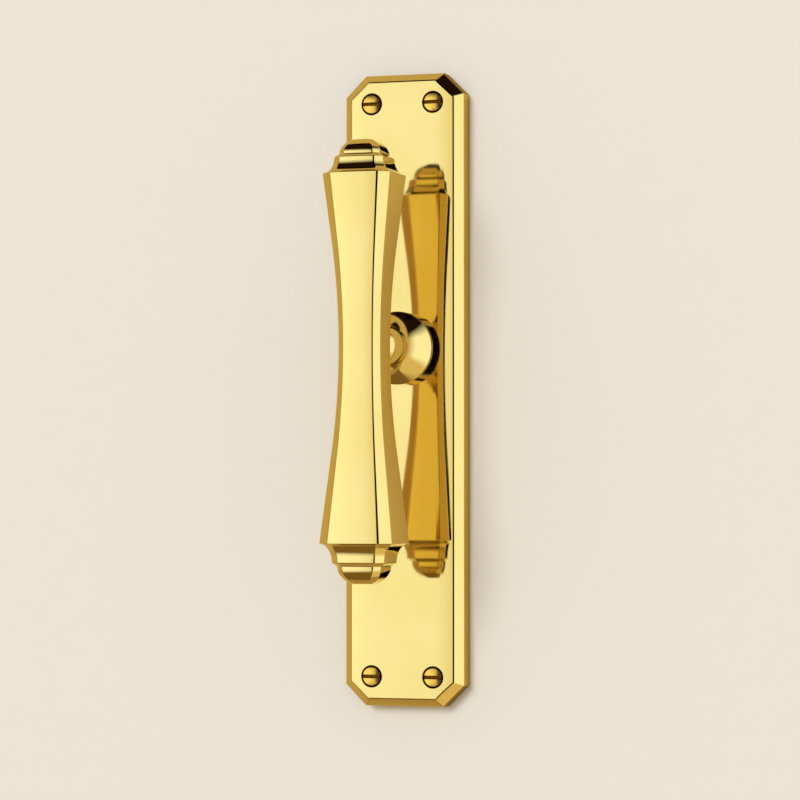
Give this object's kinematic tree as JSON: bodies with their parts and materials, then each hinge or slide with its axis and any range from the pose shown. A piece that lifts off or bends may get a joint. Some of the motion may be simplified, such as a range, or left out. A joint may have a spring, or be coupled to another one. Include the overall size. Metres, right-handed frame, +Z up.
{
  "type": "cremone bolt",
  "caption": "Polished brass cremone bolt: bevelled long plate, turned neck and waisted chamfered bar grip that drives two opposed racks behind the plate.",
  "frame": {"origin": "centre of the plate on its back face, which meets the sash", "axes": "+Z up along the plate, +Y into the sash, +X to the right as the user faces the handle"},
  "size_m": [0.0472, 0.0929, 0.24],
  "materials": {
    "polished_brass": "mirror polished",
    "bronze_bush": "machined, oil-soaked bronze",
    "zinc_plated_steel": "bright zinc plate",
    "die_cast_zinc": "die-cast zinc alloy, tumbled",
    "nylon": "natural nylon"
  },
  "bodies": {
    "plate": {"backplate": "polished_brass", "bearing_collar": "polished_brass", "neck_bush": "bronze_bush", "thrust_washer": "nylon", "plate_screws": "polished_brass", "gear_case": "die_cast_zinc", "case_cover": "die_cast_zinc", "case_screws": "zinc_plated_steel", "cover_screws": "zinc_plated_steel"},
    "handle": {"neck": "polished_brass", "grip": "polished_brass", "grip_screw": "zinc_plated_steel", "spindle": "zinc_plated_steel", "cross_pin": "zinc_plated_steel", "spring_washer": "zinc_plated_steel", "retaining_ring": "zinc_plated_steel", "pinion": "zinc_plated_steel"},
    "upper_slide": {"upper_rack": "zinc_plated_steel", "upper_drive_pin": "zinc_plated_steel"},
    "lower_slide": {"lower_rack": "zinc_plated_steel", "lower_drive_pin": "zinc_plated_steel"}
  },
  "joints": [
    {"name": "handle_turn", "type": "hinge", "parent": "plate", "child": "handle", "pos_m": [0, 0, 0.0153], "axis": [0, 1, 0], "range_deg": [0, 90]},
    {"name": "upper_rod_slide", "type": "slide", "parent": "plate", "child": "upper_slide", "axis": [0, 0, -1], "range_m": [0, 0.0158]},
    {"name": "lower_rod_slide", "type": "slide", "parent": "plate", "child": "lower_slide", "axis": [0, 0, 1], "range_m": [0, 0.0158]}
  ],
  "couplings": [
    {"joint": "upper_rod_slide", "follows": "handle_turn", "m_per_rad": 0.01},
    {"joint": "lower_rod_slide", "follows": "handle_turn", "m_per_rad": 0.01}
  ]
}
